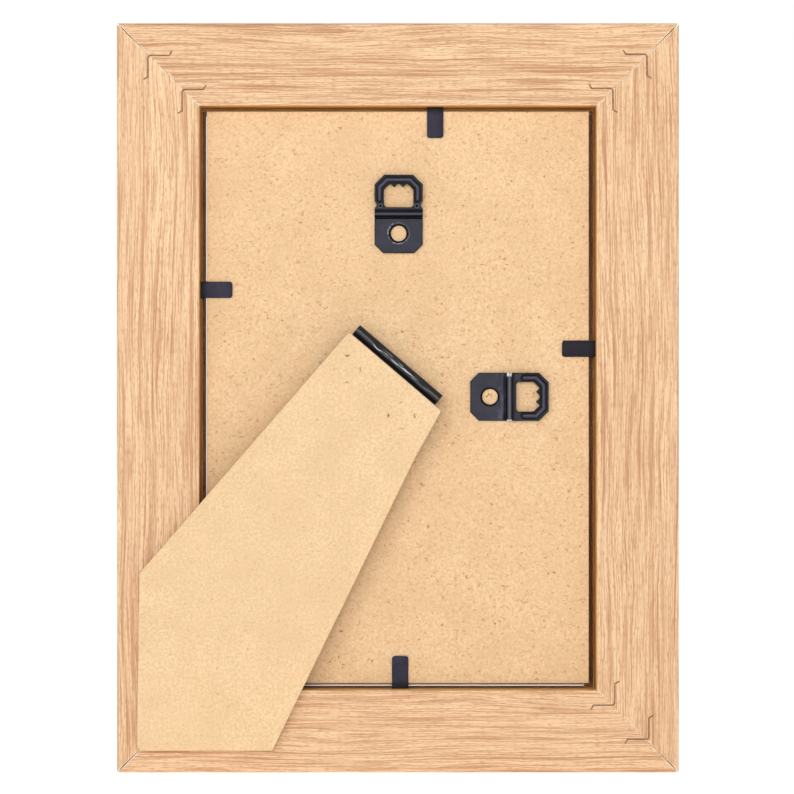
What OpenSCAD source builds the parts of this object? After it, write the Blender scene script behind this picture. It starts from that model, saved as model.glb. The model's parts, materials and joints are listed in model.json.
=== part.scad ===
// Wooden picture frame for a 10 x 15 cm print, with an easel strut that stands it upright
// or on its long side, two hangers for a wall and bendable tabs that hold the back in.
// X runs across the frame, Y from its face to its back, and Z up. The origin is the middle
// of the bottom edge that it stands on. Left and right are as seen from the face.

/* [Frame] */
// Outer width
frame_w = 150; // [146:0.5:160]
// Outer height
frame_h = 200; // [196:0.5:215]
// Width of a rail at the back, from its outer edge to the wall of the rebate
rail_w = 22; // [20:0.5:24]
// Depth of a rail from face to back
rail_d = 14; // [13:0.5:18]
// How far the lip reaches over the glass
lip_w = 5; // [3:0.5:6]
// Thickness of the lip
lip_t = 5.2; // [4:0.1:5.4]
// Rounding of the rails' front edges
front_edge_r = 1.2; // [0.5:0.1:2]
// Rounding of the rails' back edges
back_edge_r = 0.4; // [0.2:0.1:0.8]

/* [Mitred corners] */
// Gap along the mitre
mitre_gap = 0.06; // [0.02:0.01:0.2]
// Gap at the outer corner, where the mitre has opened
mitre_mouth = 0.4; // [0.1:0.05:0.6]
// How far in from the outer corner the mitre has opened
mitre_mouth_l = 8; // [4:0.5:12]
// Distance of the outer V-nails from both outer edges
outer_nail_inset = 8.3; // [7:0.1:9]
// Distance of the inner V-nails from both outer edges
inner_nail_inset = 17.4; // [16:0.1:18]
// Length of each arm of a V-nail
nail_arm = 5.7; // [4:0.1:6]
// Length of the curl at the end of each arm
nail_curl = 1.2; // [0.8:0.1:1.5]
// Size of the bend in the middle of each V-nail
nail_bend = 0.7; // [0.4:0.1:1.2]
// Thickness of the V-nails' strip
nail_t = 0.35; // [0.3:0.05:0.6]
// Depth that the V-nails are driven to
nail_depth = 7; // [5:0.5:8]

/* [Glass, picture and back] */
// Thickness of the glass
glass_t = 2; // [1.5:0.1:2]
// Thickness of the picture sheet
sheet_t = 0.3; // [0.2:0.05:0.5]
// Thickness of the backing board
board_t = 2.5; // [2:0.1:3]
// Difference between the rebate and the glass
glass_slack = 1; // [0.6:0.1:2]
// Difference between the rebate's width and the board's
board_slack_w = 3.6; // [3.4:0.1:4]
// Difference between the rebate's height and the board's
board_slack_h = 2.7; // [1.7:0.1:3]

/* [Bending tabs] */
// Width of a tab
tab_w = 4.4; // [3:0.1:6]
// Thickness of a tab
tab_t = 0.5; // [0.4:0.05:0.6]
// Rounding of a tab's free corners
tab_r = 0.7; // [0.3:0.1:1.5]
// Length of a tab inside the rail
tab_root_l = 7; // [5:0.5:9]
// How far the top tab stands out of the rebate's wall
top_tab_l = 8.3; // [6:0.1:10]
// How far the bottom tab stands out of the rebate's wall
bottom_tab_l = 8.8; // [6:0.1:10]
// How far the left tab stands out of the rebate's wall
left_tab_l = 9; // [6:0.1:10]
// How far the right tab stands out of the rebate's wall
right_tab_l = 8.6; // [6:0.1:10]
// Place of the top tab, across the frame
top_tab_x = -10; // [-30:0.5:30]
// Place of the bottom tab, across the frame
bottom_tab_x = -0.6; // [-30:0.1:30]
// Height of the left tab
left_tab_z = 113.2; // [60:0.1:150]
// Height of the right tab
right_tab_z = 129; // [100:0.1:150]

/* [Strut hinge] */
// Height of the middle of the hinge's axis
hinge_z = 108.9; // [100:0.1:120]
// Slope of the hinge's axis, down to the left
hinge_slope = 40.5; // [38:0.5:43]
// Outer diameter of the rolled barrel
barrel_d = 3; // [2.8:0.1:3.2]
// Length of the barrel
barrel_l = 29; // [27:0.5:30]
// Thickness of both leaves
leaf_t = 0.6; // [0.5:0.05:0.6]
// How far the leaves reach from the axis
leaf_reach = 15; // [14.5:0.5:20]
// Width of the two tongues that are curled inside the barrel
tongue_w = 5; // [3:0.5:7]
// Distance between the two tongues' middles
tongue_pitch = 14.6; // [12:0.2:18]
// Radial play of a tongue's curl in the barrel
curl_play = 0.05; // [0.02:0.01:0.1]
// Angle that the strut opens to
strut_open = 35; // [20:1:40]

/* [Strut] */
// Thickness of the strut
strut_t = 2.5; // [2:0.1:3]
// Gap between the closed strut and the backs of the rails
strut_gap = 0.4; // [0.3:0.1:1]
// Width of the strut at the hinge
strut_top_w = 32.3; // [31:0.1:34]
// Distance from the hinge's axis to the strut's top edge
strut_top_y = 1.9; // [1.8:0.1:2.5]
// Height of the upright foot above the base
foot_rise = 6.2; // [3:0.1:12]
// Distance of the sideways foot from the frame's right edge
foot_inset = 5.6; // [3:0.1:12]
// Length of the upright foot
upright_foot_l = 36; // [25:1:40]
// Length of the sideways foot
sideways_foot_l = 47.2; // [30:0.1:50]

/* [Hangers] */
// Width of a hanger
hanger_w = 12.9; // [11:0.1:14]
// Length of a hanger
hanger_l = 21; // [20:0.5:22]
// Thickness of the hangers' steel
hanger_t = 0.8; // [0.6:0.1:1]
// How far the loop is raised off the board
loop_rise = 0.7; // [0.3:0.1:1]
// Height of the bead pressed along the loop
bead_h = 0.3; // [0.1:0.05:0.4]
// Inner diameter of the collar that holds the hanger to the board
collar_d = 4.2; // [3.5:0.1:4.6]
// Distance of the upright hanger's collar from the middle of the frame
upright_hanger_u = 0.2; // [-1:0.1:1]
// Height of the upright hanger's collar above the base
upright_hanger_z = 144.1; // [142:0.1:150]
// Distance of the sideways hanger's collar from the middle of the frame
sideways_hanger_u = 24.7; // [23:0.1:30]
// Height of the sideways hanger's collar above the base
sideways_hanger_z = 100.3; // [95:0.1:104]

/* [Hidden] */
$fn = 48;

OAK = [0.90, 0.75, 0.58];
MDF = [0.87, 0.72, 0.52];
LIGHT_MDF = [0.93, 0.80, 0.62];
BLACK_STEEL = [0.13, 0.13, 0.15];
BARE_STEEL = [0.42, 0.38, 0.36];
GLASS = [0.80, 0.90, 0.88, 0.4];
PAPER = [0.93, 0.92, 0.95];

OVERCUT = 1;
SEAT_PLAY = 0.03;
ARC_STEPS = 6;

// Depths along Y, from the face to the back
face_y = -rail_d / 2;
back_y = rail_d / 2;
rebate_y = face_y + lip_t;
sheet_y = rebate_y + glass_t;
board_y = sheet_y + sheet_t;
board_back_y = board_y + board_t;
recess = back_y - board_back_y;

// The rebate's clear width and height, with the room that the parts in it need
rebate_w = frame_w - 2 * rail_w;
rebate_h = frame_h - 2 * rail_w;
rest_gap = 0.1;
board_lift = 1.5;

// Margins of the picture sheet that are turned up beside the board: how near the board and the
// sheet's ends they come, how high they rise, and how far the lower one leans
margin_gap = 0.05;
margin_end = 1.3;
side_margin_rise = 2.6;
low_margin_rise = 2.4;
low_margin_lean = 0.5;

// Gaps between a tab's blade and the board under it, and between its blade and its root
tab_lift = 0.05;
tab_split = 0.02;

// Angle at which the ends of a V-nail curl away from its arms
nail_curl_turn = 60;
// How far the nails of three corners were driven from their place, into the frame along X and Z
top_left_miss = [0.2, 0];
top_right_miss = [0, 0.3];
bottom_left_miss = [-0.3, 0.6];

// Hinge heights, measured outwards from the board's back
barrel_r = barrel_d / 2;
bore_r = barrel_r - leaf_t + SEAT_PLAY;
strut_h = recess + strut_gap;
axis_h = strut_h - leaf_t / 2;
// Rings of claws on both leaves, and the room that the barrel's slots leave round the tongues
claw_ring_r = 3.45;
claw_ring_x = 9.5;
claw_ring_y = -9.7;
claw_w = 1.2;
claw_t = 0.4;
claw_bite = 0.1;
slot_turn_play = 6;
slot_side_play = 0.2;

// Strut corners: how far its top edge starts before the hinge's middle, how far its shoulder
// stands out beyond that edge and below it, and how far its sideways foot leans
strut_start = 15.5;
strut_flare = 2.8;
strut_shoulder_l = 14;
foot_lean = 0.7;
corner_r = 1;
foot_corner_r = 2;

// Hanger outline, measured from the collar's middle, with the loop towards +Y
hanger_foot = 5.3;
foot_chamfer = 2.3;
head_chamfer = 2.55;
fold_y = 4.6;
fold_lap = 0.6;
rib_y = 5.25;
rib_d = 1;
rib_sink = 0.1;
loop_w = 7.9;
loop_foot_y = 7;
loop_head_y = 13.25;
loop_foot_chamfer = 0.5;
loop_head_chamfer = 1.6;
loop_foot_r = 0.2;
loop_head_r = 0.4;
tooth_depth = 0.95;
upright_tooth_pitch = 2.4;
sideways_tooth_pitch = 2.65;
bead_inset = 0.75;
bead_w = 1.2;
dot_d = 0.6;
dot_depth = 0.5;
dot_x = 4.9;
dot_y = 7.35;
notch_y = 7.6;
notch_depth = 0.6;
notch_half_l = 1;
collar_wall = 0.33;
collar_depth = 1.8;

// ---- Outlines ----

function unit(v) = v / norm(v);

// An arc of radius r in place of a corner, from the edge before it to the edge after it
function corner_arc(before, corner, after, r) =
    let (
        back = unit(before - corner),
        ahead = unit(after - corner),
        half = acos(back * ahead) / 2,
        centre = corner + unit(back + ahead) * r / sin(half),
        first = corner + back * r / tan(half) - centre,
        last = corner + ahead * r / tan(half) - centre,
        turn = 180 - 2 * half
    )
    [for (i = [0:ARC_STEPS])
        let (t = i / ARC_STEPS)
        centre + (first * sin((1 - t) * turn) + last * sin(t * turn)) / sin(turn)];

// An outline whose corners are rounded, each to its own radius, or left sharp where it is 0
function rounded(points, radii) =
    let (n = len(points))
    [for (i = [0:n - 1])
        each radii[i] == 0
            ? [points[i]]
            : corner_arc(points[(i + n - 1) % n], points[i], points[(i + 1) % n], radii[i])];

// A rectangle from its lowest corner, with chamfers at its low and high corners
function chamfered(x, y, w, l, low, high) = [
    [x + low, y], [x + w - low, y], [x + w, y + low], [x + w, y + l - high],
    [x + w - high, y + l], [x + high, y + l], [x, y + l - high], [x, y + low]
];

// ---- Places ----

// Turns a child to be seen from behind: its X runs left, its Y up, and its Z out of the back
module seen_from_behind(y) {
    translate([0, y, 0]) rotate([90, 0, 180]) children();
}

// Puts a child on the hinge: its X runs along the axis, and the strut hangs towards its -Y
module on_hinge() {
    seen_from_behind(board_back_y)
        translate([0, hinge_z, 0]) rotate([0, 0, -hinge_slope]) children();
}

// Turns a child about the middle of the frame and puts it on one of the four sides
module on_side(turn, reach) {
    translate([0, 0, frame_h / 2]) rotate([0, turn, 0]) translate([0, 0, -reach]) children();
}

// Puts a child at an outer corner, with its X and Z running into the frame
module at_corner(side_x, side_z) {
    translate([side_x * frame_w / 2, 0, frame_h / 2 + side_z * frame_h / 2])
        mirror([side_x > 0 ? 1 : 0, 0, 0])
            mirror([0, 0, side_z > 0 ? 1 : 0])
                children();
}

// ---- Rails and their nails ----

// What is cut from a corner at the origin to round it; the profile lies towards +X and +Y
module corner_waste(r) {
    difference() {
        translate([-OVERCUT, -OVERCUT]) square(r + OVERCUT);
        translate([r, r]) circle(r);
    }
}

// Section of a rail: X runs in from the outer edge and Y from the face to the back
module rail_section() {
    difference() {
        square([rail_w + lip_w, rail_d]);
        translate([rail_w, lip_t]) square([lip_w + OVERCUT, rail_d]);
        corner_waste(front_edge_r);
        translate([rail_w + lip_w, 0]) mirror([1, 0]) corner_waste(front_edge_r);
        translate([0, rail_d]) mirror([0, 1]) corner_waste(back_edge_r);
        translate([rail_w, rail_d]) mirror([1, 0]) mirror([0, 1]) corner_waste(back_edge_r);
    }
}

// A rail that lies on the frame's bottom edge, cut to its mitres and to its nails and tab
module rail(length, turn, reach) {
    half = length / 2;
    full = rail_w + lip_w;
    difference() {
        on_side(turn, reach) intersection() {
            translate([0, face_y, 0]) rotate([0, -90, 0])
                linear_extrude(length, center = true) rail_section();
            translate([0, back_y + OVERCUT, 0]) rotate([90, 0, 0])
                linear_extrude(rail_d + 2 * OVERCUT)
                    polygon([
                        [-half + mitre_mouth / 2, 0],
                        [half - mitre_mouth / 2, 0],
                        [half - mitre_mouth_l - mitre_gap / 2, mitre_mouth_l],
                        [half - full - mitre_gap / 2, full],
                        [-half + full + mitre_gap / 2, full],
                        [-half + mitre_mouth_l + mitre_gap / 2, mitre_mouth_l]
                    ]);
        }
        for (side_x = [-1, 1], side_z = [-1, 1])
            at_corner(side_x, side_z) v_nails(nail_miss(side_x, side_z), SEAT_PLAY, OVERCUT);
        for (place = tab_places())
            on_side(place[0], place[1]) translate([place[2], 0, 0]) tab_root(SEAT_PLAY, OVERCUT);
    }
}

// One straight stretch of a V-nail's strip, from one point to the next
module nail_stretch(from, to, play) {
    run = to - from;
    translate(from) rotate(atan2(run[1], run[0])) translate([-play, -nail_t / 2 - play])
        square([norm(run) + 2 * play, nail_t + 2 * play]);
    translate(to) circle(nail_t / 2 + play, $fn = 24);
}

// How far the nails of a corner are from their place
function nail_miss(side_x, side_z) =
    side_z > 0 ? (side_x > 0 ? top_right_miss : top_left_miss)
               : (side_x > 0 ? [0, 0] : bottom_left_miss);

// Two V-nails on the mitre of the corner at the origin; over is how far they stick out
module v_nails(miss, play, over) {
    curl = nail_curl * [cos(nail_curl_turn), -sin(nail_curl_turn)];
    for (inset = [outer_nail_inset, inner_nail_inset]) {
        bend_middle = [inset, inset] + nail_bend * [1, 1] / 4;
        bend_end = [inset + nail_bend, inset];
        arm_end = [inset + nail_arm, inset];
        translate([miss[0], back_y + over, miss[1]]) rotate([90, 0, 0])
            linear_extrude(nail_depth + over + play)
                for (flip = [0, 1])
                    mirror([flip, -flip]) {
                        nail_stretch(bend_middle, bend_end, play);
                        nail_stretch(bend_end, arm_end, play);
                        nail_stretch(arm_end, arm_end + curl, play);
                    }
    }
}

module top_rail() {
    color(OAK) rail(frame_w, 180, frame_h / 2);
}

module bottom_rail() {
    color(OAK) rail(frame_w, 0, frame_h / 2);
}

module left_rail() {
    color(OAK) rail(frame_h, 90, frame_w / 2);
}

module right_rail() {
    color(OAK) rail(frame_h, -90, frame_w / 2);
}

module v_nails_at(side_x, side_z) {
    color(BARE_STEEL) at_corner(side_x, side_z) v_nails(nail_miss(side_x, side_z), 0, 0);
}

// ---- Glass, picture and back ----

module glass_pane() {
    w = rebate_w - glass_slack;
    h = rebate_h - glass_slack;
    color(GLASS) translate([-w / 2, rebate_y, rail_w + rest_gap]) cube([w, glass_t, h]);
}

board_w = rebate_w - board_slack_w;
board_h = rebate_h - board_slack_h;
board_low = rail_w + board_lift;

// The sheet, with its right and bottom margins turned up round the edges of the board
module picture_sheet() {
    side = board_w / 2 + margin_gap;
    low = board_low - margin_gap;
    t = sheet_t - 2 * SEAT_PLAY;
    h = board_h + t;
    color(PAPER) translate([0, sheet_y + SEAT_PLAY, low]) {
        translate([-side, 0, -t]) cube([2 * side + t, t, h]);
        translate([side, 0, -t]) cube([t, side_margin_rise, h - margin_end]);
        translate([side, 0, 0]) rotate([0, -90, 0])
            linear_extrude(2 * side - margin_end)
                polygon([
                    [0, 0], [-t, 0], [-t - low_margin_lean, low_margin_rise],
                    [-low_margin_lean, low_margin_rise], [0, t]
                ]);
    }
}

module backing_board() {
    color(MDF) difference() {
        translate([-board_w / 2, board_y, board_low]) cube([board_w, board_t, board_h]);
        seen_from_behind(board_back_y) {
            translate([upright_hanger_u, upright_hanger_z, 0]) collar(SEAT_PLAY, OVERCUT);
            translate([sideways_hanger_u, sideways_hanger_z, 0]) collar(SEAT_PLAY, OVERCUT);
        }
        on_hinge() translate([0, 0, -board_claw_l]) claw_rings(board_claw_l + OVERCUT, SEAT_PLAY);
    }
}

// ---- Bending tabs: each is one strip of steel, a root in the rail and a blade on the board ----

// Turn, reach, place along its side and length of each tab: top, bottom, left, right
function tab_places() = [
    [180, frame_h / 2, -top_tab_x, top_tab_l],
    [0, frame_h / 2, bottom_tab_x, bottom_tab_l],
    [90, frame_w / 2, frame_h / 2 - left_tab_z, left_tab_l],
    [-90, frame_w / 2, right_tab_z - frame_h / 2, right_tab_l]
];

// Root of a tab that lies on the bottom side: over is how far it sticks out of the wall
module tab_root(play, over) {
    translate([
        -tab_w / 2 - play,
        board_back_y + tab_lift - play,
        rail_w - tab_root_l - play
    ])
        cube([tab_w + 2 * play, tab_t + 2 * play, tab_root_l + over + play]);
}

// Blade of a tab on the bottom side, lying on the board and pointing into the frame
module tab_blade(length) {
    half = tab_w / 2;
    outline = [[-half, tab_split], [half, tab_split], [half, length], [-half, length]];
    translate([0, board_back_y + tab_lift + tab_t, rail_w]) rotate([90, 0, 0])
        linear_extrude(tab_t) polygon(rounded(outline, [0, 0, tab_r, tab_r]));
}

module tab_root_part(index) {
    place = tab_places()[index];
    color(BLACK_STEEL) on_side(place[0], place[1]) translate([place[2], 0, 0]) tab_root(0, 0);
}

module tab_blade_part(index) {
    place = tab_places()[index];
    color(BLACK_STEEL) on_side(place[0], place[1]) translate([place[2], 0, 0]) tab_blade(place[3]);
}

// ---- Hangers ----

// The pierced collar under a hanger, turned down into the board
module collar(play, over) {
    translate([0, 0, -collar_depth - play]) linear_extrude(collar_depth + play + over)
        difference() {
            circle(collar_d / 2 + collar_wall + play);
            circle(collar_d / 2 - play);
        }
}

// The bead along the loop, between its outer outline and its opening
module bead_outline() {
    top = hanger_l - hanger_foot - bead_inset;
    side = hanger_w / 2 - bead_inset;
    corner = head_chamfer - bead_inset * tan(45 / 2);
    outer = [
        [side, dot_y + bead_w], [side, top - corner], [side - corner, top],
        [corner - side, top], [-side, top - corner], [-side, dot_y + bead_w]
    ];
    step = bead_w * tan(45 / 2);
    inner = [
        [bead_w - side, dot_y + bead_w], [bead_w - side, top - corner - step],
        [corner - side + step, top - bead_w], [side - corner - step, top - bead_w],
        [side - bead_w, top - corner - step], [side - bead_w, dot_y + bead_w]
    ];
    polygon(concat(outer, inner));
}

// Outline of a hanger's steel, with the loop's opening and its two teeth
module hanger_outline(tooth_pitch, notched) {
    difference() {
        polygon(chamfered(-hanger_w / 2, -hanger_foot, hanger_w, hanger_l,
                          foot_chamfer, head_chamfer));
        difference() {
            polygon(rounded(
                chamfered(-loop_w / 2, loop_foot_y, loop_w, loop_head_y - loop_foot_y,
                          loop_foot_chamfer, loop_head_chamfer),
                [for (i = [0:7]) i < 3 || i == 7 ? loop_foot_r : loop_head_r]));
            for (side = [-1, 1])
                translate([side * tooth_pitch / 2, loop_head_y])
                    polygon([[-tooth_depth, OVERCUT], [-tooth_depth, 0], [0, -tooth_depth],
                             [tooth_depth, 0], [tooth_depth, OVERCUT]]);
        }
        if (notched)
            for (side = [-1, 1])
                translate([side * hanger_w / 2, notch_y])
                    polygon([[OVERCUT * side, notch_half_l], [0, notch_half_l],
                             [-side * notch_depth, 0], [0, -notch_half_l],
                             [OVERCUT * side, -notch_half_l]]);
    }
}

// A hanger: a plate on the board, a fold with a rib, and a loop raised off the board. The notched
// kind has a small blind dot punched beside each of its notches
module hanger(tooth_pitch, notched) {
    wide = 2 * hanger_w;
    loop_top = loop_rise + hanger_t;
    difference() {
        union() {
            linear_extrude(hanger_t) intersection() {
                hanger_outline(tooth_pitch, notched);
                translate([-wide / 2, -wide]) square([wide, wide + fold_y + fold_lap]);
            }
            translate([0, 0, loop_rise]) linear_extrude(hanger_t) intersection() {
                hanger_outline(tooth_pitch, notched);
                translate([-wide / 2, fold_y - fold_lap]) square([wide, wide]);
            }
            translate([-hanger_w / 2, rib_y, loop_top - rib_sink]) rotate([0, 90, 0])
                cylinder(d = rib_d, h = hanger_w);
            translate([0, 0, loop_top]) linear_extrude(bead_h) bead_outline();
            collar(0, hanger_t / 2);
        }
        translate([0, 0, -collar_depth - OVERCUT])
            cylinder(d = collar_d, h = collar_depth + hanger_t + 2 * OVERCUT);
        if (notched)
            for (side = [-1, 1])
                translate([side * dot_x, dot_y, loop_top - dot_depth])
                    cylinder(d = dot_d, h = dot_depth + OVERCUT);
    }
}

module upright_hanger() {
    color(BLACK_STEEL) seen_from_behind(board_back_y)
        translate([upright_hanger_u, upright_hanger_z, 0])
            hanger(upright_tooth_pitch, true);
}

module sideways_hanger() {
    color(BLACK_STEEL) seen_from_behind(board_back_y)
        translate([sideways_hanger_u, sideways_hanger_z, 0]) rotate([0, 0, -90])
            hanger(sideways_tooth_pitch, false);
}

// ---- Hinge and strut ----

strut_claw_l = strut_t - claw_bite;
board_claw_l = board_t - leaf_t;

// Two rings of four claws that clinch a leaf to its board, upright with the frame
module claw_rings(height, play) {
    for (side = [-1, 1], turn = [0:90:270])
        translate([side * claw_ring_x, claw_ring_y, 0]) rotate([0, 0, hinge_slope + turn])
            translate([claw_ring_r, 0, height / 2])
                cube([claw_t + 2 * play, claw_w + 2 * play, height], center = true);
}

// A wedge along the hinge's axis, between two angles from the hinge's Y towards its Z
module axis_wedge(first, last, radius, width) {
    rotate([90, 0, 90]) linear_extrude(width, center = true)
        polygon(concat([[0, 0]],
            [for (i = [0:ARC_STEPS])
                let (a = first + (last - first) * i / ARC_STEPS)
                radius * [cos(a), sin(a)]]));
}

module hinge_board_leaf() {
    color(BLACK_STEEL) on_hinge() {
        translate([-barrel_l / 2, -leaf_reach, 0])
            cube([barrel_l, leaf_reach + leaf_t / 2, leaf_t]);
        translate([0, 0, -board_claw_l]) claw_rings(board_claw_l + leaf_t / 2, 0);
        for (side = [-1, 1]) translate([side * tongue_pitch / 2, 0, 0]) {
            translate([-tongue_w / 2, -leaf_t / 2, leaf_t / 2])
                cube([tongue_w, leaf_t, axis_h - leaf_t / 2]);
            translate([-tongue_w / 2, 0, axis_h]) rotate([0, 90, 0])
                cylinder(r = bore_r - curl_play, h = tongue_w);
        }
    }
}

module hinge_strut_leaf() {
    neck_half = asin(leaf_t / 2 / bore_r);
    color(BLACK_STEEL) on_hinge() difference() {
        union() {
            translate([-barrel_l / 2, -leaf_reach, strut_h - leaf_t])
                cube([barrel_l, leaf_reach, leaf_t]);
            translate([-barrel_l / 2, 0, axis_h]) rotate([0, 90, 0])
                cylinder(r = barrel_r, h = barrel_l);
            translate([0, 0, strut_h - leaf_t / 2]) claw_rings(leaf_t / 2 + strut_claw_l, 0);
        }
        translate([-barrel_l / 2 - OVERCUT, 0, axis_h]) rotate([0, 90, 0])
            cylinder(r = bore_r, h = barrel_l + 2 * OVERCUT);
        for (side = [-1, 1])
            translate([side * tongue_pitch / 2, 0, axis_h])
                axis_wedge(-90 - neck_half - slot_turn_play,
                           -90 + strut_open + neck_half + slot_turn_play,
                           barrel_d, tongue_w + 2 * slot_side_play);
    }
}

// Outline of the strut as seen from behind: a slanting leg with two straight feet
function strut_outline() =
    let (
        along = [cos(hinge_slope), -sin(hinge_slope)],
        down = [-sin(hinge_slope), -cos(hinge_slope)],
        middle = [0, hinge_z],
        top_left = middle - along * strut_start + down * strut_top_y,
        top_right = top_left + along * strut_top_w,
        shoulder = top_right + along * strut_flare + down * strut_shoulder_l,
        foot_u = foot_inset - frame_w / 2
    )
    [
        top_left,
        [foot_u + foot_lean, foot_rise + sideways_foot_l],
        [foot_u, foot_rise],
        [foot_u + upright_foot_l, foot_rise],
        shoulder,
        top_right
    ];

module strut() {
    color(LIGHT_MDF) difference() {
        seen_from_behind(board_back_y + strut_h) linear_extrude(strut_t)
            polygon(rounded(strut_outline(), [corner_r, corner_r, foot_corner_r, 0, 0, 0]));
        on_hinge() translate([0, 0, strut_h - OVERCUT])
            claw_rings(strut_t + 2 * OVERCUT, SEAT_PLAY);
    }
}

top_rail();
bottom_rail();
left_rail();
right_rail();
v_nails_at(-1, 1);  // v_nails_top_left
v_nails_at(1, 1);  // v_nails_top_right
v_nails_at(-1, -1);  // v_nails_bottom_left
v_nails_at(1, -1);  // v_nails_bottom_right
glass_pane();
picture_sheet();
backing_board();
tab_root_part(0);  // top_tab_root
tab_root_part(1);  // bottom_tab_root
tab_root_part(2);  // left_tab_root
tab_root_part(3);  // right_tab_root
tab_blade_part(0);  // top_tab_blade
tab_blade_part(1);  // bottom_tab_blade
tab_blade_part(2);  // left_tab_blade
tab_blade_part(3);  // right_tab_blade
upright_hanger();
sideways_hanger();
hinge_board_leaf();
hinge_strut_leaf();
strut();
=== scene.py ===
"""Looks of a wooden picture frame seen from its back: oak-foil rails, a fibreboard back and strut,
and blackened steel hangers, hinge and tabs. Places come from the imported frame, in metres."""

import json
import math

import bmesh
import bpy
from mathutils import Matrix, Vector


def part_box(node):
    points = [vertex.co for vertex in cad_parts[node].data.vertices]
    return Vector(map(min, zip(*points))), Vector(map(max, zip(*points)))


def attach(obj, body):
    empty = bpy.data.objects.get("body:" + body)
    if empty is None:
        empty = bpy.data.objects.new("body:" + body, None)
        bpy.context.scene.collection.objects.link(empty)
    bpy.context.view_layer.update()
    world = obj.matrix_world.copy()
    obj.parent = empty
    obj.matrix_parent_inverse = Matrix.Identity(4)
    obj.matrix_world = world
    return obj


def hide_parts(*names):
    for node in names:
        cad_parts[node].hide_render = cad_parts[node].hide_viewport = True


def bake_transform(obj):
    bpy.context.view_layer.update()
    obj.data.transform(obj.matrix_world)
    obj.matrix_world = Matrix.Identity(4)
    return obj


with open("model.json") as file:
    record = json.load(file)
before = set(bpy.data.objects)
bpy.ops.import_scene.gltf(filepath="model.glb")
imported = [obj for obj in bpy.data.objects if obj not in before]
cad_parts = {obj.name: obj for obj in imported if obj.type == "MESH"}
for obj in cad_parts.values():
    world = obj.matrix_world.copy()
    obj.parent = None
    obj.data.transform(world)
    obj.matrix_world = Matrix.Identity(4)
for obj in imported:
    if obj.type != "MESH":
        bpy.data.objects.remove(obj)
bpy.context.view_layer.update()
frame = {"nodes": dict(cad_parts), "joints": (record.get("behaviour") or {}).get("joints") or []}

NODES = frame["nodes"]
MM = 0.001

# Points nearer than this are one point, and the share of a pressed mesh's faces that is kept
WELD = 1e-7
KEPT_FACES = 0.4


# ---- Places in the frame ----

def low(node):
    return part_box(node)[0]


def high(node):
    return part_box(node)[1]


def middle(node):
    return (low(node) + high(node)) / 2


def joint(name):
    return next(j for j in frame["joints"] if j["name"] == name)


HALF_W = high("right_rail").x
HALF_H = high("top_rail").z / 2
BOARD_BACK = high("backing_board").y
RAIL_BACK = high("top_rail").y
HINGE = Vector(joint("strut_hinge")["pos_m"])
HINGE_AXIS = Vector(joint("strut_hinge")["axis"]).normalized()

# From a hanger's foot to the middle of its hole, in mm
COLLAR_FROM_FOOT = 5.3


def seen_from_behind(origin, turn=0.0):
    """The matrix of a place on the back: its X runs left, its Y up and its Z out, then turned clockwise."""
    right = Vector((-math.cos(turn), 0, -math.sin(turn)))
    up = Vector((-math.sin(turn), 0, math.cos(turn)))
    out = Vector((0, 1, 0))
    matrix = Matrix((right, up, out)).transposed().to_4x4()
    matrix.translation = origin
    return matrix


HINGE_TURN = math.atan2(HINGE_AXIS.z, HINGE_AXIS.x)
ON_HINGE = seen_from_behind(HINGE, HINGE_TURN)
UPRIGHT_PLACE = seen_from_behind(Vector((middle("upright_hanger").x, BOARD_BACK,
                                         low("upright_hanger").z + COLLAR_FROM_FOOT * MM)))
SIDEWAYS_PLACE = seen_from_behind(Vector((high("sideways_hanger").x - COLLAR_FROM_FOOT * MM, BOARD_BACK,
                                          middle("sideways_hanger").z)), math.radians(90))

# Sizes of a hanger in mm from the middle of its hole: across it, and up towards its loop.
# At a bevelled corner, the distances across and up (or down, at the foot) add up to that much.
HOLE_R = 2.1
OUTER_SIDE = 6.45
OUTER_TOP = 15.7
OUTER_CORNER = 19.6
FOOT_CORNER = 9.45
OPENING_SIDE = 3.95
OPENING_LOW = 7.0
OPENING_TOP = 13.25
OPENING_CORNER = 15.6
BEAD_SIDE = 5.1
BEAD_START = 9.15
BEAD_TOP = 14.35
BEAD_CORNER = 17.46
DOT_SIDE = 4.9
DOT_UP = 7.35

# The middle line and half the width of the rib across each hanger
NARROW_RIB = (5.2, 0.46)
WIDE_RIB = (5.15, 0.72)

# The two rings of claws on the hinge, along its barrel and across it, and their radius in mm
CLAW_RING_X = 9.5 * MM
CLAW_RING_Y = -9.7 * MM
CLAW_RING_R = 3.45

# The barrel's dents, each with its place along the barrel, its width in mm and its share of the
# full depth, and the place of the bright mark beside the first one
DENTS = ((-6.8, 1.6, 1.0), (8.2, 2.0, 0.8))
DENT_DEPTH = 0.4
DENT_MARK = -7.0


# ---- Studio ----

# How bright the studio makes a white surface that faces the camera
STUDIO_LIGHT = 1.25

# Even light from all round, and the brighter patches in front of and behind the frame
FILL = 0.38
SOFTBOX = 5.7
SOFTBOX_EDGE = math.cos(math.radians(28))
SOFTBOX_MIDDLE = math.cos(math.radians(10))


def linear(value):
    """One sRGB channel, from 0 to 255, as linear light."""
    share = value / 255
    return share / 12.92 if share <= 0.04045 else ((share + 0.055) / 1.055) ** 2.4


def paint(red, green, blue):
    """The surface colour that shows as this sRGB colour in the studio's light."""
    return tuple(linear(c) / STUDIO_LIGHT for c in (red, green, blue)) + (1.0,)


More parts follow.
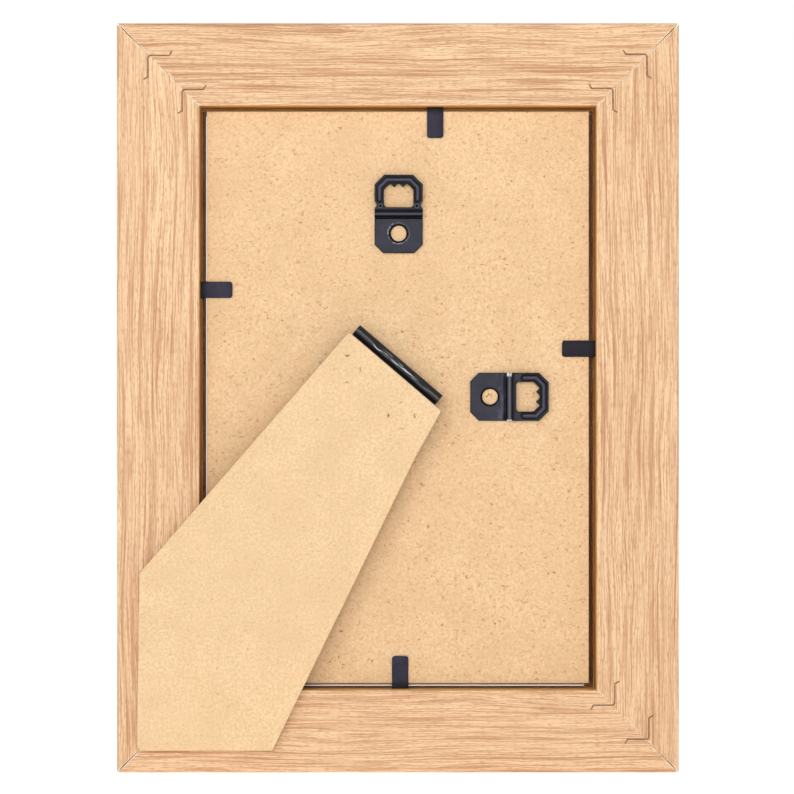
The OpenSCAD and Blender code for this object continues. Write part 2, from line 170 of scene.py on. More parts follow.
def build_world():
    """Soft light that is strongest in front of and behind the frame, on a plain white background."""
    world = bpy.data.worlds.new("studio")
    world.use_nodes = True
    bpy.context.scene.world = world
    tree = world.node_tree
    place = tree.nodes.new("ShaderNodeTexCoord")
    split = tree.nodes.new("ShaderNodeSeparateXYZ")
    facing = tree.nodes.new("ShaderNodeMath")
    facing.operation = "ABSOLUTE"
    lobe = tree.nodes.new("ShaderNodeMapRange")
    lobe.interpolation_type = "SMOOTHSTEP"
    for socket, value in zip(lobe.inputs[1:5], (SOFTBOX_EDGE, SOFTBOX_MIDDLE, FILL, FILL + SOFTBOX)):
        socket.default_value = value
    path = tree.nodes.new("ShaderNodeLightPath")
    shown = tree.nodes.new("ShaderNodeMix")
    shown.inputs["B"].default_value = 1.0
    tree.links.new(place.outputs["Generated"], split.inputs[0])
    tree.links.new(split.outputs["Y"], facing.inputs[0])
    tree.links.new(facing.outputs[0], lobe.inputs["Value"])
    tree.links.new(path.outputs["Is Camera Ray"], shown.inputs["Factor"])
    tree.links.new(lobe.outputs["Result"], shown.inputs["A"])
    tree.links.new(shown.outputs["Result"], tree.nodes["Background"].inputs["Strength"])
    tree.nodes["Background"].inputs["Color"].default_value = (1, 1, 1, 1)


def build_lamp(name, place, size, power):
    """A square softbox that points at the middle of the frame."""
    lamp = bpy.data.lights.new(name, "AREA")
    lamp.shape = "SQUARE"
    lamp.size = size
    lamp.energy = power
    obj = bpy.data.objects.new(name, lamp)
    obj.location = place
    obj.rotation_euler = (Vector((0, 0, HALF_H)) - Vector(place)).to_track_quat("-Z", "Y").to_euler()
    obj.visible_camera = False
    bpy.context.scene.collection.objects.link(obj)


def build_camera():
    """A camera square on to the back of the frame, as far away as a table-top picture is taken from."""
    camera = bpy.data.cameras.new("camera")
    view_w = 211.9 * MM
    distance = 0.7
    off_middle = 0.24 * MM
    camera.sensor_width = 36
    camera.lens = camera.sensor_width * distance / view_w
    obj = bpy.data.objects.new("camera", camera)
    obj.location = (off_middle, RAIL_BACK + distance, HALF_H + off_middle)
    obj.rotation_euler = (math.radians(90), 0, math.radians(180))
    bpy.context.scene.collection.objects.link(obj)
    bpy.context.scene.camera = obj


def build_floor():
    """A plain pale floor under the frame."""
    half = 3.0
    mesh = bpy.data.meshes.new("floor")
    corners = [(-half, -half, 0), (half, -half, 0), (half, half, 0), (-half, half, 0)]
    mesh.from_pydata(corners, [], [(0, 1, 2, 3)])
    floor = bpy.data.objects.new("floor", mesh)
    bpy.context.scene.collection.objects.link(floor)
    surface = bpy.data.materials.new("floor_white")
    surface.use_nodes = True
    shader = surface.node_tree.nodes["Principled BSDF"]
    shader.inputs["Base Color"].default_value = (0.82, 0.82, 0.82, 1)
    shader.inputs["Roughness"].default_value = 0.9
    shader.inputs["Specular IOR Level"].default_value = 0.0
    shader.inputs["Emission Color"].default_value = (1, 1, 1, 1)
    shader.inputs["Emission Strength"].default_value = 0.62
    mesh.materials.append(surface)


# ---- Materials ----

class Surface:
    """A procedural material while it is put together. Sizes in it are millimetres."""

    def __init__(self, name, roughness, specular):
        self.material = bpy.data.materials.new(name)
        self.material.use_nodes = True
        self.tree = self.material.node_tree
        self.shader = self.tree.nodes["Principled BSDF"]
        self.shader.inputs["Roughness"].default_value = roughness
        self.shader.inputs["Specular IOR Level"].default_value = specular
        self.coordinates = self.tree.nodes.new("ShaderNodeTexCoord")
        self.place = self.vector("SCALE", self.coordinates.outputs["Object"], scale=1 / MM)

    def put(self, socket, value):
        """Joins a socket to another one, or sets it to a number or colour."""
        if isinstance(value, bpy.types.NodeSocket):
            self.tree.links.new(value, socket)
        elif value is not None:
            socket.default_value = value

    def vector(self, operation, a, b=None, scale=None):
        node = self.tree.nodes.new("ShaderNodeVectorMath")
        node.operation = operation
        self.put(node.inputs[0], a)
        self.put(node.inputs[1], b)
        if scale is not None:
            self.put(node.inputs["Scale"], scale)
        return node.outputs["Vector"]

    def math(self, operation, a, b=None):
        node = self.tree.nodes.new("ShaderNodeMath")
        node.operation = operation
        self.put(node.inputs[0], a)
        self.put(node.inputs[1], b)
        return node.outputs[0]

    def split(self, vector):
        node = self.tree.nodes.new("ShaderNodeSeparateXYZ")
        self.put(node.inputs[0], vector)
        return node.outputs

    def join(self, x, y, z):
        node = self.tree.nodes.new("ShaderNodeCombineXYZ")
        for socket, value in zip(node.inputs, (x, y, z)):
            self.put(socket, value)
        return node.outputs[0]

    def stretched(self, size, shift=0.0, vector=None):
        """Coordinates in which one unit is that size along X, Y and Z."""
        node = self.tree.nodes.new("ShaderNodeMapping")
        self.put(node.inputs["Vector"], vector or self.place)
        node.inputs["Location"].default_value = (shift, 2 * shift, -shift)
        node.inputs["Scale"].default_value = tuple(1 / s for s in size)
        return node.outputs[0]

    def noise(self, size, shift=0.0, detail=2.0, roughness=0.5, distortion=0.0, vector=None):
        """Soft noise from 0 to 1 whose blobs are about that size along X, Y and Z."""
        node = self.tree.nodes.new("ShaderNodeTexNoise")
        self.put(node.inputs["Vector"], self.stretched(size, shift, vector))
        node.inputs["Scale"].default_value = 1.0
        node.inputs["Detail"].default_value = detail
        node.inputs["Roughness"].default_value = roughness
        node.inputs["Distortion"].default_value = distortion
        return node.outputs["Fac"]

    def step(self, value, start, end, first=0.0, last=1.0):
        """A smooth step of value: first before start, last after end."""
        node = self.tree.nodes.new("ShaderNodeMapRange")
        node.interpolation_type = "SMOOTHSTEP"
        self.put(node.inputs[0], value)
        for socket, number in zip(node.inputs[1:5], (start, end, first, last)):
            socket.default_value = number
        return node.outputs[0]

    def mix(self, factor, a, b):
        """The colour a, turned into b by the factor."""
        node = self.tree.nodes.new("ShaderNodeMix")
        node.data_type = "RGBA"
        self.put(node.inputs["Factor"], factor)
        self.put(node.inputs["A"], a)
        self.put(node.inputs["B"], b)
        return node.outputs["Result"]

    def local(self, matrix):
        """The place in another frame: along its three axes, in mm from its origin."""
        moved = self.vector("SUBTRACT", self.place, tuple(matrix.translation / MM))
        steps = []
        for axis in matrix.to_3x3().transposed():
            node = self.tree.nodes.new("ShaderNodeVectorMath")
            node.operation = "DOT_PRODUCT"
            self.put(node.inputs[0], moved)
            node.inputs[1].default_value = tuple(axis)
            steps.append(node.outputs["Value"])
        return steps

    def bump(self, value, middle, width, soft=0.12):
        """1 where value is within half a width of the middle, 0 outside, with soft ends."""
        off = self.math("ABSOLUTE", self.math("SUBTRACT", value, middle))
        return self.step(off, width / 2 - soft / 2, width / 2 + soft / 2, 1.0, 0.0)

    def length(self, x, y):
        """The distance of a place from the middle, across and up."""
        squares = self.math("ADD", self.math("MULTIPLY", x, x), self.math("MULTIPLY", y, y))
        return self.math("SQRT", squares)

    def both(self, a, b):
        """The product: two shares that both have to be there, or a value times a number."""
        return self.math("MULTIPLY", a, b)

    def finish(self, colour, roughness=None, height=None, depth=0.05):
        """Joins the colour, the roughness and the relief, whose full height is depth."""
        self.put(self.shader.inputs["Base Color"], colour)
        self.put(self.shader.inputs["Roughness"], roughness)
        if height is not None:
            bump = self.tree.nodes.new("ShaderNodeBump")
            bump.inputs["Distance"].default_value = depth * MM
            self.put(bump.inputs["Height"], height)
            self.put(self.shader.inputs["Normal"], bump.outputs[0])
        return self.material


def oak_foil(name, along, shift, tone, lit):
    """Oak-effect foil with its grain along X or Z, a golden rebate, and pale chips beside the mitre.
    The tone makes all of it lighter or darker; the other number makes only the rebate lighter, as painted
    light for how brightly that rail's rebate is lit."""
    s = Surface(name, roughness=0.5, specular=0.3)

    def size(length, width):
        return (length, width, width) if along == "X" else (width, width, length)

    def colour_of(*rgb):
        return paint(*(c + tone for c in rgb))

    # The grain wanders, slowly over its length and a little over its width
    sway = s.math("SUBTRACT", s.noise(size(70, 14), shift, detail=1), 0.5)
    ripple = s.math("SUBTRACT", s.noise(size(6, 1.1), shift + 3, detail=2), 0.5)
    offset = s.math("ADD", s.both(sway, 6.0), s.both(ripple, 0.55))
    offset = s.join(0.0, 0.0, offset) if along == "X" else s.join(offset, 0.0, 0.0)
    grain = s.vector("ADD", s.place, offset)

    bands = s.noise(size(90, 5), shift + 11, detail=1, vector=grain)
    streaks = s.noise(size(55, 0.6), shift + 23, detail=2, roughness=0.6, vector=grain)
    pale_streaks = s.noise(size(40, 0.5), shift + 29, detail=1, vector=grain)
    fine = s.noise(size(15, 0.22), shift + 37, detail=2, roughness=0.6, vector=grain)
    dashes = s.noise(size(1.8, 0.2), shift + 51, detail=1, vector=grain)
    patches = s.noise(size(50, 3), shift + 67, detail=1, vector=grain)

    dark = colour_of(190, 132, 88)
    colour = s.mix(s.step(bands, 0.36, 0.64), colour_of(253, 213, 168), colour_of(247, 206, 161))
    weight = s.step(patches, 0.3, 0.62, 0.55, 1.0)
    colour = s.mix(s.both(s.step(streaks, 0.5, 0.64, 0.0, 0.8), weight), colour, dark)
    colour = s.mix(s.step(pale_streaks, 0.5, 0.66, 0.0, 0.6), colour, colour_of(255, 224, 182))
    colour = s.mix(s.step(fine, 0.46, 0.6, 0.0, 0.7), colour, colour_of(200, 143, 100))
    colour = s.mix(s.step(dashes, 0.5, 0.66, 0.0, 0.5), colour, colour_of(194, 138, 98))

    # How far in from the outer edges a place is, and how far off the mitre
    x, y, z = s.split(s.place)
    from_side = s.math("SUBTRACT", HALF_W / MM, s.math("ABSOLUTE", x))
    from_end = s.math("SUBTRACT", HALF_H / MM, s.math("ABSOLUTE", s.math("SUBTRACT", z, HALF_H / MM)))
    off_mitre = s.both(s.math("ABSOLUTE", s.math("SUBTRACT", from_side, from_end)), math.sqrt(0.5))

    # The foil is browner where it turns down into the rebate
    inward = from_end if along == "X" else from_side
    turned = s.both(s.step(inward, 21.85, 22.02), s.step(y, -2.6, -2.0))
    # Painted light: each rail's rebate colour is made lighter by its own amount
    golden = s.mix(s.step(fine, 0.35, 0.65), paint(208 + lit, 136 + lit, 60 + lit),
                   paint(240 + lit / 3, 170 + lit, 92 + lit))
    colour = s.mix(turned, colour, golden)

    # The raw core shows where the foil has chipped beside the mitre
    crumbs = s.noise((1.3, 1.3, 1.3), shift + 5, detail=3, roughness=0.65)
    reach = s.step(crumbs, 0.44, 0.66, 0.0, 0.6)
    chip = s.step(s.math("SUBTRACT", reach, off_mitre), 0.0, 0.2, 0.0, 0.6)
    open_end = s.step(s.math("MINIMUM", from_side, from_end), 7.0, 9.0, 1.0, 0.0)
    broken = s.step(s.noise((1.6, 1.6, 1.6), shift + 15, detail=1), 0.36, 0.56)
    sliver = s.both(s.step(off_mitre, 0.24, 0.42, 1.0, 0.0), broken)
    sliver = s.both(s.both(sliver, open_end), 0.7 if along == "X" else 0.25)
    colour = s.mix(s.math("MAXIMUM", chip, sliver), colour, paint(252, 234, 208))

    relief = s.math("ADD", s.both(s.step(streaks, 0.5, 0.75), 0.6), s.both(s.step(dashes, 0.55, 0.75), 0.4))
    relief = s.math("SUBTRACT", 1.0, relief)
    rough = s.step(streaks, 0.4, 0.7, 0.46, 0.6)
    return s.finish(colour, rough, relief, depth=0.035)


def fibreboard(name, shift, ground, contrast, specks, claws=False):
    """Thin raw fibreboard: fine mottling, dark specks, curled fibres, and a browner sawn edge that is also
    darkened as painted shade.
    """
    s = Surface(name, roughness=0.85, specular=0.12)
    fleck = s.noise((0.7, 0.7, 0.7), shift, detail=3, roughness=0.62)
    felt = s.noise((0.36, 0.36, 0.36), shift + 9, detail=2)
    blush = s.noise((3.0, 3.0, 3.0), shift + 13, detail=2)
    clouds = s.noise((11, 11, 11), shift + 19, detail=3)
    drift = s.noise((45, 45, 45), shift + 29, detail=1)

    def near(red, green, blue):
        return paint(*(c + contrast * change for c, change in zip(ground, (red, green, blue))))

    colour = s.mix(s.step(fleck, 0.3, 0.7), near(-11, -13, -13), near(9, 11, 11))
    colour = s.mix(s.step(felt, 0.5, 0.75, 0.0, 0.4), colour, near(-24, -26, -26))
    colour = s.mix(s.step(blush, 0.45, 0.7, 0.0, 0.35), colour, near(2, -8, -6))
    colour = s.mix(s.step(clouds, 0.38, 0.66, 0.0, 0.35), colour, near(-16, -18, -19))
    colour = s.mix(s.step(drift, 0.4, 0.62, 0.0, 0.3), colour, near(-8, -9, -9))

    # Curled fibres: short stretches of the level lines of a noise
    curl = s.math("ABSOLUTE", s.math("SUBTRACT", s.noise((1.5, 1.5, 1.5), shift + 39, detail=1), 0.5))
    thread = s.step(curl, 0.014, 0.034, 1.0, 0.0)
    pale_here = s.step(s.noise((1.1, 1.1, 1.1), shift + 47, detail=1), 0.58, 0.68)
    dark_here = s.step(s.noise((1.2, 1.2, 1.2), shift + 57, detail=1), 0.64, 0.7)
    colour = s.mix(s.both(s.both(thread, pale_here), 0.6), colour, near(14, 16, 18))
    colour = s.mix(s.both(s.both(thread, dark_here), 0.6 * specks), colour, paint(176, 118, 66))

    # Specks of bark: many faint ones and a few dark ones
    bark = s.noise((0.85, 0.85, 0.6), shift + 71, detail=1, distortion=0.6)
    faint = s.step(bark, 0.6, 0.74, 0.0, 0.4 * specks)
    rare = s.step(s.noise((3.4, 3.4, 3.4), shift + 83, detail=0), 0.56, 0.68)
    strong = s.both(s.step(bark, 0.69, 0.76, 0.0, 0.85 * specks), rare)
    colour = s.mix(faint, colour, paint(196, 136, 84))
    colour = s.mix(strong, colour, paint(146, 88, 40))

    # Faint grey arcs where the claws of the hinge come through
    if claws:
        for side in (-CLAW_RING_X, CLAW_RING_X):
            centre = (ON_HINGE @ Vector((side, CLAW_RING_Y, 0))) / MM
            off = s.split(s.vector("ABSOLUTE", s.vector("SUBTRACT", s.place, tuple(centre))))
            far = s.math("MAXIMUM", off["X"], off["Z"])
            aside = s.math("MINIMUM", off["X"], off["Z"])
            arc = s.math("SUBTRACT", far, s.both(s.both(aside, aside), 0.35))
            ragged = s.both(s.math("SUBTRACT", felt, 0.5), 0.9)
            claw = s.both(s.bump(s.math("ADD", arc, ragged), CLAW_RING_R, 0.34),
                          s.step(s.math("ADD", aside, ragged), 0.3, 0.75, 1.0, 0.0))
            worn = s.step(s.noise((1.7, 1.7, 1.7), shift + 7, detail=0), 0.3, 0.6, 0.25, 0.95)
            colour = s.mix(s.both(claw, worn), colour, paint(104, 92, 80))

    # The sawn edges are browner, and painted darker still as shade where they face sideways
    normal = s.split(s.coordinates.outputs["Normal"])
    edge = s.step(s.math("ABSOLUTE", normal["Y"]), 0.35, 0.8, 1.0, 0.0)
    fuzz = s.noise((0.5, 0.25, 0.5), shift + 91, detail=3, roughness=0.7)
    sawn = s.mix(s.step(fuzz, 0.3, 0.7), paint(178, 128, 80), paint(226, 180, 128))
    colour = s.mix(edge, colour, sawn)
    relief = s.math("ADD", s.both(fleck, 0.6), s.both(felt, 0.4))
    return s.finish(colour, None, relief, depth=0.06)


class BlackSteel(Surface):
    """Blackened steel with a thin blue-grey coat: painted shade makes it near black on its edges, and it
    has fine scratches.
    """

    def __init__(self, name, shift, coat, roughness, specular):
        super().__init__(name, roughness=roughness, specular=specular)
        self.cloud = self.noise((3.5, 3.5, 3.5), shift, detail=3)
        self.grit = self.noise((0.25, 0.25, 0.25), shift + 7, detail=2)
        darker = paint(*(c * 0.82 for c in coat))
        lighter = paint(*(c * 1.35 + 8 for c in coat))
        colour = self.mix(self.step(self.cloud, 0.38, 0.62), darker, paint(*coat))
        colour = self.mix(self.step(self.grit, 0.52, 0.75, 0.0, 0.5), colour, lighter)
        scratch = self.noise((4.5, 4.5, 0.12), shift + 17, detail=1, distortion=0.4)
        self.colour = self.mix(self.step(scratch, 0.66, 0.76, 0.0, 0.35), colour, lighter)
        # Painted shade: faces that turn away from the front and back are painted near black
        normal = self.split(self.coordinates.outputs["Normal"])
        edge = self.step(self.math("ABSOLUTE", normal["Y"]), 0.45, 0.85, 0.85, 0.0)
        self.cover(edge, (8, 8, 10))

    def cover(self, share, rgb):
        """Paints over with a colour, by a share from 0 to 1."""
        self.colour = self.mix(share, self.colour, paint(*rgb))

    def done(self):
        rough = self.step(self.grit, 0.3, 0.7, self.base_roughness() - 0.05, self.base_roughness() + 0.1)
        relief = self.math("ADD", self.grit, self.both(self.cloud, 0.5))
        return self.finish(self.colour, rough, relief, depth=0.02)

    def base_roughness(self):
        return self.shader.inputs["Roughness"].default_value


def outer_gap(s, aside, q):
    """In a material: how far a place on a hanger is outside (+) or inside (-) its outer edge."""
    flat = s.math("MAXIMUM", s.math("SUBTRACT", aside, OUTER_SIDE),
                  s.math("MAXIMUM", s.math("SUBTRACT", q, OUTER_TOP),
                         s.math("SUBTRACT", -COLLAR_FROM_FOOT, q)))
    head = s.both(s.math("SUBTRACT", s.math("ADD", aside, q), OUTER_CORNER), math.sqrt(0.5))
    foot = s.both(s.math("SUBTRACT", s.math("SUBTRACT", aside, q), FOOT_CORNER), math.sqrt(0.5))
    return s.math("MAXIMUM", flat, s.math("MAXIMUM", head, foot))


def opening_gap(s, aside, q):
    """In a material: how far a place on a hanger is outside (+) the edge of its loop's opening."""
    flat = s.math("MAXIMUM", s.math("SUBTRACT", aside, OPENING_SIDE),
                  s.math("MAXIMUM", s.math("SUBTRACT", q, OPENING_TOP), s.math("SUBTRACT", OPENING_LOW, q)))
    head = s.both(s.math("SUBTRACT", s.math("ADD", aside, q), OPENING_CORNER), math.sqrt(0.5))
    return s.math("MAXIMUM", flat, head)


def hanger_steel(name, shift, place, notched):
    """A hanger's steel: painted shade makes it black in the creases beside its rib and bead, a painted
    highlight runs along the bead, and it is scratched round its hole.
    """
    s = BlackSteel(name, shift, coat=(46, 45, 59), roughness=0.42, specular=0.18)
    p, q, _ = s.local(place)
    aside = s.math("ABSOLUTE", p)
    ring = s.length(p, q)
    # Painted shade: near black bands in the grooves below and above the rib
    grooves = ((4.3, 0.94, 0.97), (6.05, 0.8, 0.85)) if notched else ((4.24, 0.34, 0.95), (6.12, 0.36, 0.9))
    for level, width, share in grooves:
        s.cover(s.both(s.bump(q, level, width, 0.2), share), (4, 4, 5))
    # Painted shade: dark lines in the creases on both sides of the bead, and a painted highlight along its
    # crest
    off_bead = bead_distance(s, aside, q)
    for level, width in ((0.78, 0.46), (-0.86, 0.6)):
        s.cover(s.bump(off_bead, level, width, 0.2), (2, 2, 3))
    s.cover(s.bump(off_bead, 0.0, 0.5, 0.5), (72, 70, 86))

    # Painted shade: dark edges, all round the steel and round the loop's opening
    rim = outer_gap(s, aside, q)
    s.cover(s.step(rim, -0.34, -0.16, 0.0, 0.85), (6, 6, 8))
    s.cover(s.both(s.step(opening_gap(s, aside, q), 0.2, 0.4, 0.85, 0.0), s.step(q, 6.4, 6.8)), (6, 6, 8))

    # A painted highlight along the rib's middle, where it catches the light
    rib = NARROW_RIB[0] if notched else WIDE_RIB[0]
    rib_shine, rib_rgb = (0.75, (84, 84, 98)) if notched else (1.1, (74, 76, 82))
    s.cover(s.both(s.bump(q, rib, rib_shine, 0.3), 0.75), rib_rgb)

    # Painted shade on the rolled rim of the hole, a little out of round
    rough_edge = s.both(s.math("SUBTRACT", s.noise((1.1, 1.1, 1.1), shift + 3, detail=1), 0.5), 0.55)
    s.cover(s.step(s.math("ADD", ring, rough_edge), 2.48, 2.64, 0.97, 0.0), (3, 3, 4))
    if notched:
        # Painted shade round each blind dot and in its middle, with a painted highlight on the ring
        # between, and bright scuffs on one side of the hole
        dot = s.length(s.math("SUBTRACT", aside, DOT_SIDE), s.math("SUBTRACT", q, DOT_UP))
        s.cover(s.both(s.bump(dot, 0.82, 0.2), 0.8), (4, 4, 5))
        s.cover(s.both(s.bump(dot, 0.52, 0.3), 0.8), (92, 94, 110))
        s.cover(s.step(dot, 0.3, 0.42, 1.0, 0.0), (2, 2, 3))
        lit_side = s.step(s.math("ADD", p, s.both(q, 0.5)), 1.8, -1.6, 0.25, 1.0)
        broken = s.step(s.noise((0.9, 0.9, 0.9), shift + 41, detail=2), 0.4, 0.54)
        scuff = s.both(s.bump(s.math("ADD", ring, rough_edge), 2.86, 0.28, 0.2), s.both(lit_side, broken))
        s.cover(s.both(scuff, 0.8), (150, 156, 172))
    else:
        # The rib is rubbed bare at both ends and has a painted highlight along its middle, and the plate
        # below it is mottled
        rub = s.both(s.step(s.noise((0.4, 0.4, 0.4), shift + 43, detail=2), 0.38, 0.48),
                     s.bump(q, rib, 1.3, 0.2))
        far_end = s.step(p, -5.2, -5.9)
        near_end = s.step(p, 6.0, 6.25)
        s.cover(s.both(rub, s.math("MAXIMUM", far_end, near_end)), (252, 253, 255))
        # Painted highlight along the middle of the rib
        s.cover(s.both(s.bump(q, rib + 0.1, 0.4, 0.3), 0.6), (118, 122, 124))
        s.cover(s.both(s.step(s.noise((1.1, 1.1, 3), shift + 47, detail=3), 0.42, 0.7),
                       s.both(s.bump(q, 2.9, 2.2, 1.2), 0.4)), (104, 106, 126))
    return s.done()


def hinge_steel(name, shift):
    """The hinge's steel, with long fine scratches along the top of its rolled barrel that also serve as its
    painted highlight.
    """
    s = BlackSteel(name, shift, coat=(24, 24, 30), roughness=0.33, specular=0.5)
    along, side, _ = s.local(ON_HINGE)
    # Scratches and painted highlight: light lanes along the top of the barrel
    lane = s.noise((5.0, 0.36, 1.0), shift + 5, detail=2, vector=s.join(along, side, 0.0))
    scratched = s.both(s.bump(side, 0.1, 1.2, 0.5), s.bump(along, 0.6, 10.5, 3.0))
    s.cover(s.both(s.step(lane, 0.54, 0.58), s.both(scratched, 0.65)), (214, 218, 226))
    past = s.math("SUBTRACT", along, DENT_MARK)
    arc = s.math("SUBTRACT", side, s.math("SUBTRACT", s.both(s.both(past, past), 0.16), 0.4))
    crimp = s.both(s.bump(arc, 0.0, 0.2, 0.15), s.bump(along, DENT_MARK, 2.8, 0.8))
    s.cover(s.both(crimp, 0.85), (214, 216, 222))
    return s.done()


def tab_steel(name, shift, wall, coat):
    """A tab's steel, with painted shade where it comes out of the wall."""
    s = BlackSteel(name, shift, coat=coat, roughness=0.5, specular=0.18)
    from_wall = s.local(wall)[0]
    # Painted shade near the wall
    s.cover(s.step(from_wall, 0.5, 2.4, 0.95, 0.0), (5, 4, 5))
    return s.done()


def nail_steel():
    """The brown edge of a steel strip that is driven in flush."""
    s = Surface("nail_steel", roughness=0.6, specular=0.3)
    stain = s.noise((0.9, 0.9, 0.9), 3.0, detail=3)
    colour = s.mix(s.step(stain, 0.35, 0.65), paint(132, 88, 56), paint(172, 124, 86))
    return s.finish(colour, s.step(stain, 0.3, 0.7, 0.5, 0.75), stain, depth=0.03)


def clear_glass():
    """Non-reflecting picture glass with a faint uneven tint, which lets light through to the print."""
    s = Surface("picture_glass", roughness=0.0, specular=0.05)
    s.shader.inputs["Transmission Weight"].default_value = 1.0
    hardly_reflecting = 1.1
    s.shader.inputs["IOR"].default_value = hardly_reflecting
    ripple = s.noise((40, 40, 40), 1.0, detail=1)
    tint = s.mix(s.step(ripple, 0.3, 0.7), (0.97, 0.995, 0.985, 1), (0.985, 1.0, 0.993, 1))
    s.finish(tint)
    path = s.tree.nodes.new("ShaderNodeLightPath")
    through = s.tree.nodes.new("ShaderNodeBsdfTransparent")
    both = s.tree.nodes.new("ShaderNodeMixShader")
    s.put(both.inputs[0], path.outputs["Is Shadow Ray"])
    s.put(both.inputs[1], s.shader.outputs[0])
    s.put(both.inputs[2], through.outputs[0])
    s.put(s.tree.nodes["Material Output"].inputs["Surface"], both.outputs[0])
    return s.material


def print_paper():
    """The sheet that the frame is sold with: a white border round soft hills under a pale sky."""
    s = Surface("print_paper", roughness=0.32, specular=0.4)
    x, _, z = s.split(s.place)
    normal = s.split(s.coordinates.outputs["Normal"])
    half_w = 42.0
    half_h = 66.0
    height = s.math("DIVIDE", s.math("SUBTRACT", z, HALF_H / MM - half_h), 2 * half_h)
    colour = s.mix(s.step(height, 0.45, 1.0), paint(226, 214, 196), paint(166, 194, 212))
    ridges = ((0.60, 34.0, (172, 190, 190)), (0.47, 26.0, (138, 166, 152)),
              (0.34, 30.0, (112, 146, 120)), (0.20, 22.0, (146, 160, 112)))
    for level, width, tint in ridges:
        ridge = s.noise((width, 400.0, 400.0), level * 70, detail=2)
        crest = s.math("ADD", s.math("MULTIPLY", s.math("SUBTRACT", ridge, 0.5), 0.34), level)
        below = s.step(s.math("SUBTRACT", crest, height), -0.004, 0.004)
        colour = s.mix(below, colour, paint(*tint))
    grain = s.noise((0.35, 0.35, 0.35), 2.0, detail=2)
    colour = s.mix(s.step(grain, 0.3, 0.7, 0.0, 0.06), colour, paint(255, 255, 255))
    out_x = s.math("SUBTRACT", s.math("ABSOLUTE", x), half_w)
    out_z = s.math("SUBTRACT", s.math("ABSOLUTE", s.math("SUBTRACT", z, HALF_H / MM)), half_h)
    border = s.step(s.math("MAXIMUM", out_x, out_z), -0.1, 0.1)
    colour = s.mix(border, colour, paint(246, 245, 243))
    back = s.step(normal["Y"], -0.2, 0.2)
    colour = s.mix(back, colour, paint(255, 246, 244))
    return s.finish(colour, None, grain, depth=0.01)


# ---- Mesh tools ----

def new_piece(name, mesh, material):
    """An object for a mesh whose points are already in the row frame."""
    piece = bpy.data.objects.new(name, mesh)
    bpy.context.scene.collection.objects.link(piece)
    mesh.materials.clear()
    mesh.materials.append(material)
    return piece


def shade_smooth(mesh, angle=math.radians(38)):
    """Smooth shading, apart from edges that are sharper than the angle."""
    mesh.shade_smooth()
    mesh.set_sharp_from_angle(angle=angle)


def welded(node):
    """A copy of a CAD node's mesh whose faces share their corners."""
    mesh = bmesh.new()
    mesh.from_mesh(NODES[node].data)
    bmesh.ops.remove_doubles(mesh, verts=mesh.verts, dist=WELD)
    return mesh


def outlines(node, y):
    """The outlines of a CAD node's flat face at depth y, longest first, each a list of points."""
    mesh = welded(node)
    flat = {f for f in mesh.faces if all(abs(v.co.y - y) < WELD * 10 for v in f.verts)}
    following = {}
    for edge in mesh.edges:
        beside = [f for f in edge.link_faces if f in flat]
        if len(beside) == 1:
            loop = next(l for l in beside[0].loops if l.edge == edge)
            following[loop.vert] = loop.link_loop_next.vert
    found = []
    while following:
        start, point = following.popitem()
        outline = [start.co.copy()]
        while point != start:
            outline.append(point.co.copy())
            point = following.pop(point)
        found.append(outline)
    mesh.free()
    return sorted(found, key=lambda o: -sum((a - b).length for a, b in zip(o, o[1:] + o[:1])))


def plate(outline_list, y_low, y_high, bevel, steps=3):
    """A flat piece between two depths with rounded edges: the first outline is its rim, the rest holes."""
    curve = bpy.data.curves.new("plate", "CURVE")
    curve.dimensions = "2D"
    curve.fill_mode = "BOTH"
    curve.extrude = (y_high - y_low) / 2 - bevel
    curve.bevel_depth = bevel
    curve.bevel_resolution = steps
    curve.offset = -bevel
    for outline in outline_list:
        spline = curve.splines.new("POLY")
        spline.points.add(len(outline) - 1)
        spline.use_cyclic_u = True
        for point, corner in zip(spline.points, outline):
            point.co = (corner.x, corner.z, 0, 1)
    source = bpy.data.objects.new("plate", curve)
    bpy.context.scene.collection.objects.link(source)
    mesh = bpy.data.meshes.new_from_object(source.evaluated_get(bpy.context.evaluated_depsgraph_get()))
    bpy.data.objects.remove(source)
    flat = bmesh.new()
    flat.from_mesh(mesh)
    bmesh.ops.remove_doubles(flat, verts=flat.verts, dist=WELD)
    for vert in flat.verts:
        vert.co = (vert.co.x, (y_low + y_high) / 2 + vert.co.z, vert.co.y)
    bmesh.ops.recalc_face_normals(flat, faces=flat.faces)
    flat.to_mesh(mesh)
    flat.free()
    shade_smooth(mesh)
    return mesh


def pressed(node, voxel, softening):
    """A CAD node as pressed steel, in mm: cut into small even faces, with its edges softened."""
    mesh = bpy.data.meshes.new(node)
    source = welded(node)
    source.to_mesh(mesh)
    source.free()
    mesh.transform(Matrix.Scale(1 / MM, 4))
    work = bpy.data.objects.new("work", mesh)
    remesh = work.modifiers.new("voxels", "REMESH")
    remesh.mode = "VOXEL"
    remesh.voxel_size = voxel
    smooth = work.modifiers.new("soften", "SMOOTH")
    smooth.factor = 0.5
    smooth.iterations = softening
    return applied(work)


def applied(work):
    """The mesh of an object with its modifiers applied. The object itself goes."""
    bpy.context.scene.collection.objects.link(work)
    result = bpy.data.meshes.new_from_object(work.evaluated_get(bpy.context.evaluated_depsgraph_get()))
    bpy.data.objects.remove(work)
    return result


def finished(mesh, share):
    """A pressed mesh with only that share of its faces, back in metres and shaded smooth."""
    work = bpy.data.objects.new("work", mesh)
    fewer = work.modifiers.new("fewer", "DECIMATE")
    fewer.ratio = share
    result = applied(work)
    result.transform(Matrix.Scale(MM, 4))
    shade_smooth(result, math.radians(60))
    return result


def bell(distance, width):
    """1 in the middle, falling smoothly to 0 about that width away."""
    return math.exp(-(distance / width) ** 2)


# ---- Pieces ----

